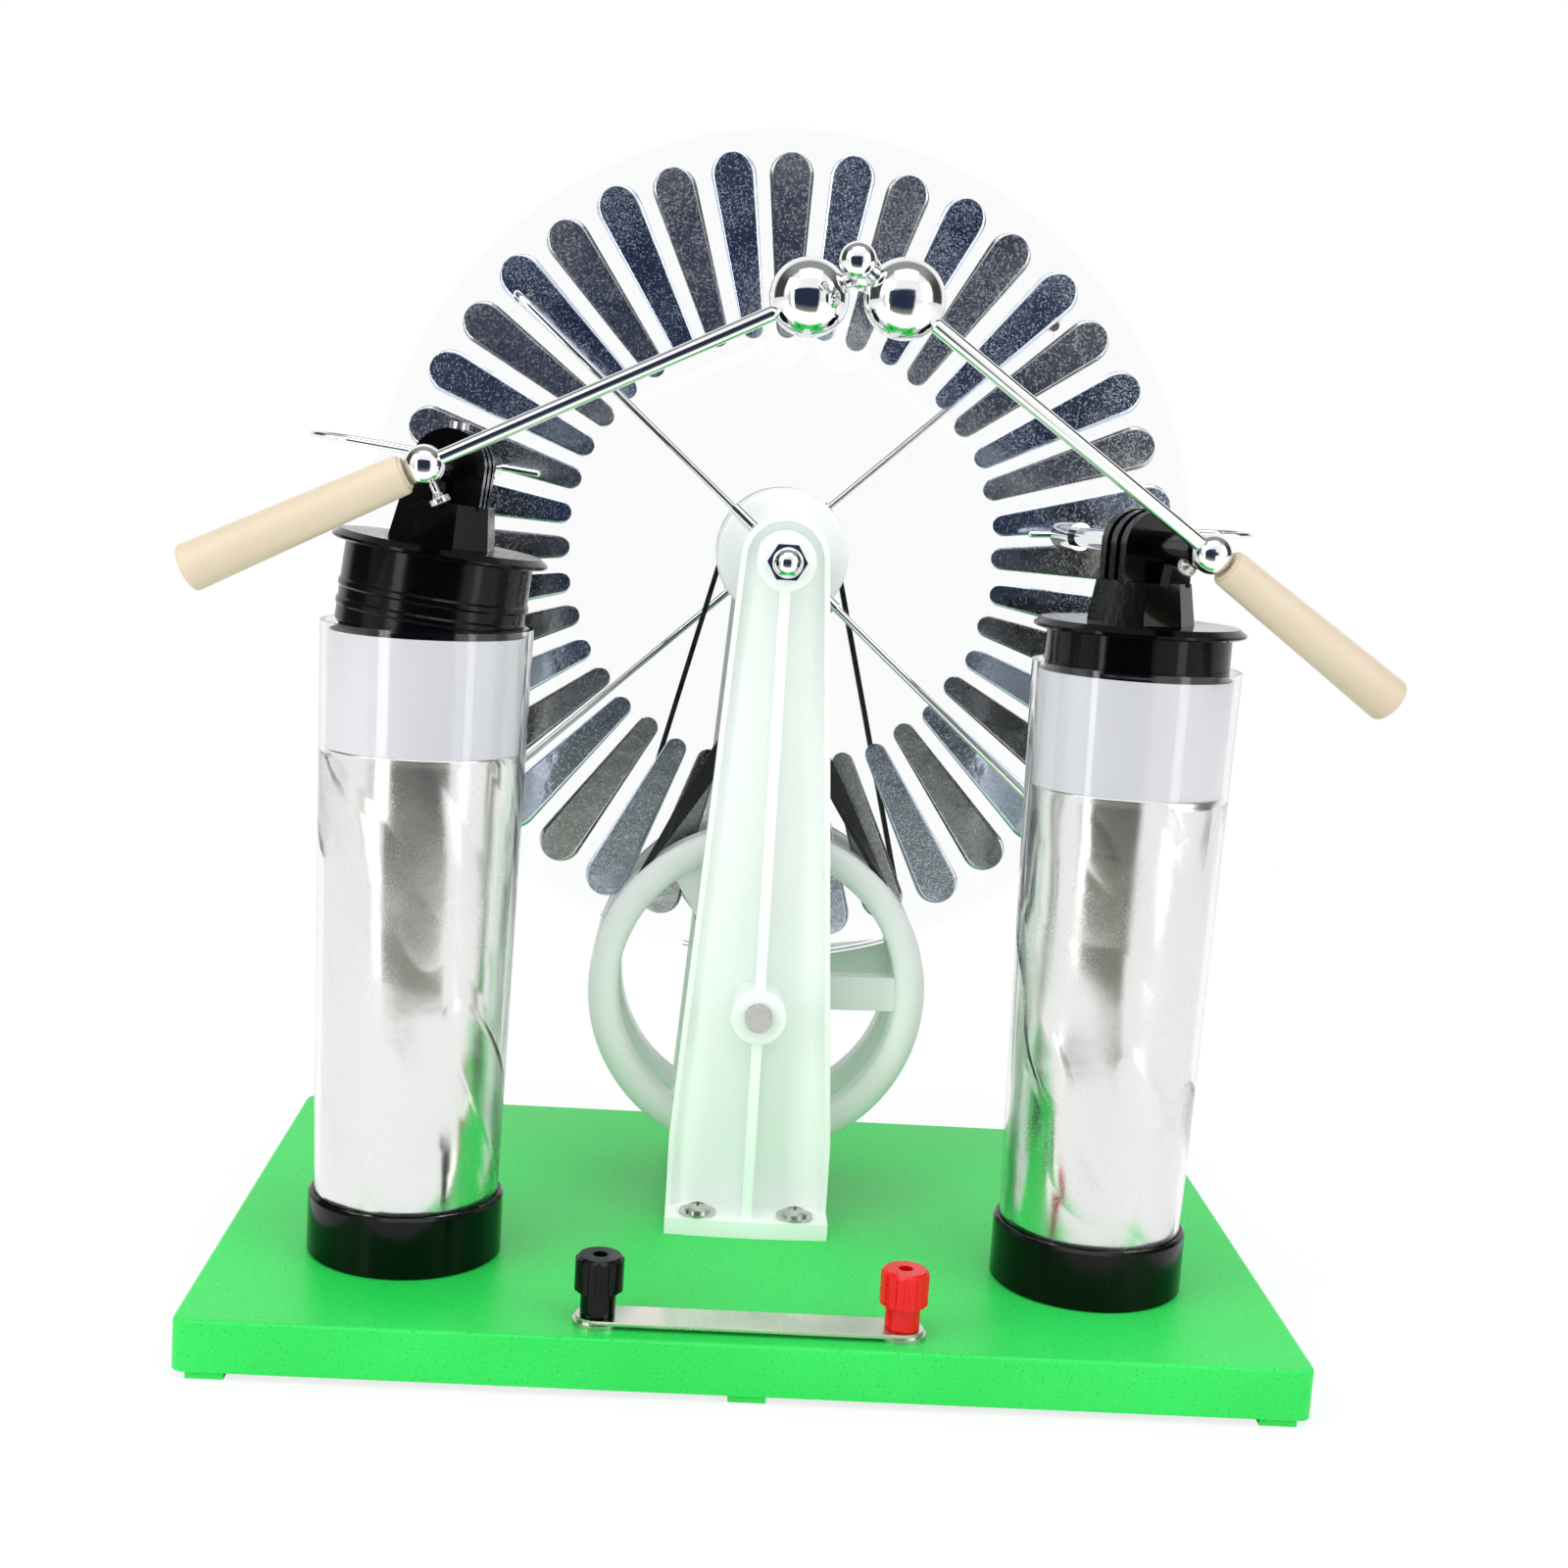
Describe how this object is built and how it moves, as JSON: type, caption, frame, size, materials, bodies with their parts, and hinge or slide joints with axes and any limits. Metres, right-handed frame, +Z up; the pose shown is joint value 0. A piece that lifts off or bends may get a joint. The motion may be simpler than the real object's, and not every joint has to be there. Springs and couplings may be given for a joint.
{
  "type": "electrostatic generator",
  "caption": "Hand-cranked influence machine: contra-rotating foil-sectored discs on two uprights, belt drive, two charge jars and swinging discharge arms with ball ends.",
  "frame": {"origin": "in the standing plane under the middle of the base, on the centre pad's flat underside", "axes": "+X to the right seen from the spark gap, +Y from the spark gap towards the crank, +Z up"},
  "size_m": [0.3242, 0.2384, 0.341],
  "materials": {
    "green_plastic": "satin moulding",
    "milky_plastic": "smooth milky moulding",
    "black_plastic": "glossy moulding",
    "red_plastic": "glossy moulding",
    "ivory_plastic": "smooth turned",
    "white_liner": "thin satin moulding",
    "clear_jar": "clear polished plastic",
    "clear_disc": "clear polished plastic",
    "polished_steel": "polished plating",
    "screw_steel": "plated",
    "foil": "scratched foil",
    "belt_rubber": "flat matt belt",
    "brush_brass": "fine tinsel",
    "strip_brass": "rolled strip"
  },
  "bodies": {
    "frame": {"base_plate": "green_plastic", "front_upright": "milky_plastic", "rear_upright": "milky_plastic", "upright_screws": "screw_steel", "upright_washers": "screw_steel", "disc_axle": "screw_steel", "axle_nuts": "polished_steel", "disc_spacer": "milky_plastic", "left_jar_foot": "black_plastic", "right_jar_foot": "black_plastic", "left_jar_tube": "clear_jar", "right_jar_tube": "clear_jar", "left_jar_liner": "white_liner", "right_jar_liner": "white_liner", "left_outer_foil": "foil", "right_outer_foil": "foil", "inner_foils": "foil", "jar_screws": "screw_steel", "left_stopper": "black_plastic", "right_stopper": "black_plastic", "left_terminal_bar": "polished_steel", "right_terminal_bar": "polished_steel", "stopper_screws": "screw_steel", "inner_contacts": "screw_steel", "left_collector": "polished_steel", "right_collector": "polished_steel", "front_belt": "belt_rubber", "rear_belt": "belt_rubber", "post_studs": "screw_steel", "lead_strips": "strip_brass"},
    "crank": {"drive_shaft": "screw_steel", "front_drive_wheel": "milky_plastic", "rear_drive_wheel": "milky_plastic", "wheel_screws": "screw_steel", "crank_arm": "polished_steel", "crank_pin": "polished_steel"},
    "knob": {"crank_knob": "black_plastic"},
    "front_disc_set": {"front_disc": "clear_disc", "front_sectors": "foil", "front_pulley": "milky_plastic"},
    "rear_disc_set": {"rear_disc": "clear_disc", "rear_sectors": "foil", "rear_pulley": "milky_plastic"},
    "front_neutraliser": {"front_rod_collar": "milky_plastic", "front_rods": "polished_steel", "front_brushes": "brush_brass"},
    "rear_neutraliser": {"rear_rod_collar": "milky_plastic", "rear_rods": "polished_steel", "rear_brushes": "brush_brass"},
    "left_arm": {"left_pivot_ball": "polished_steel", "left_discharge_rod": "polished_steel", "left_spark_balls": "polished_steel", "left_handle": "ivory_plastic"},
    "right_arm": {"right_pivot_ball": "polished_steel", "right_discharge_rod": "polished_steel", "right_spark_balls": "polished_steel", "right_handle": "ivory_plastic"},
    "black_cap": {"black_post_cap": "black_plastic"},
    "red_cap": {"red_post_cap": "red_plastic"},
    "link": {"link_bar": "polished_steel"}
  },
  "joints": [
    {"name": "crank_turn", "type": "hinge", "parent": "frame", "child": "crank", "pos_m": [0, 0.083, 0.083], "axis": [0, 1, 0], "continuous": true},
    {"name": "crank_knob_spin", "type": "hinge", "parent": "crank", "child": "knob", "pos_m": [0, 0.11, 0.031], "axis": [0, 1, 0], "continuous": true},
    {"name": "front_disc_spin", "type": "hinge", "parent": "frame", "child": "front_disc_set", "pos_m": [0, 0.027, 0.216], "axis": [0, 1, 0], "continuous": true},
    {"name": "rear_disc_spin", "type": "hinge", "parent": "frame", "child": "rear_disc_set", "pos_m": [0, 0.034, 0.216], "axis": [0, 1, 0], "continuous": true},
    {"name": "front_neutraliser_swing", "type": "hinge", "parent": "frame", "child": "front_neutraliser", "pos_m": [0, 0.0016, 0.216], "axis": [0, 1, 0], "range_deg": [-20, 20]},
    {"name": "rear_neutraliser_swing", "type": "hinge", "parent": "frame", "child": "rear_neutraliser", "pos_m": [0, 0.0564, 0.216], "axis": [0, 1, 0], "range_deg": [-20, 20]},
    {"name": "left_arm_swing", "type": "hinge", "parent": "frame", "child": "left_arm", "pos_m": [-0.09565, -0.07788, 0.23764], "axis": [-0.078, -0.9969, 0.0089], "range_deg": [0, 60]},
    {"name": "right_arm_swing", "type": "hinge", "parent": "frame", "child": "right_arm", "pos_m": [0.10764, -0.07677, 0.2273], "axis": [-0.2504, 0.9681, 0], "range_deg": [0, 60]},
    {"name": "black_cap_turn", "type": "hinge", "parent": "frame", "child": "black_cap", "pos_m": [-0.0405, -0.0885, 0.027], "axis": [0, 0, 1], "range_deg": [0, 360]},
    {"name": "red_cap_turn", "type": "hinge", "parent": "frame", "child": "red_cap", "pos_m": [0.0405, -0.0885, 0.027], "axis": [0, 0, 1], "range_deg": [0, 360]},
    {"name": "link_swing", "type": "hinge", "parent": "frame", "child": "link", "pos_m": [-0.0405, -0.0885, 0.0178], "axis": [0, 0, 1], "range_deg": [-90, 0]}
  ],
  "couplings": [
    {"joint": "front_disc_spin", "follows": "crank_turn", "ratio": -2.9228},
    {"joint": "rear_disc_spin", "follows": "crank_turn", "ratio": 2.9228}
  ]
}
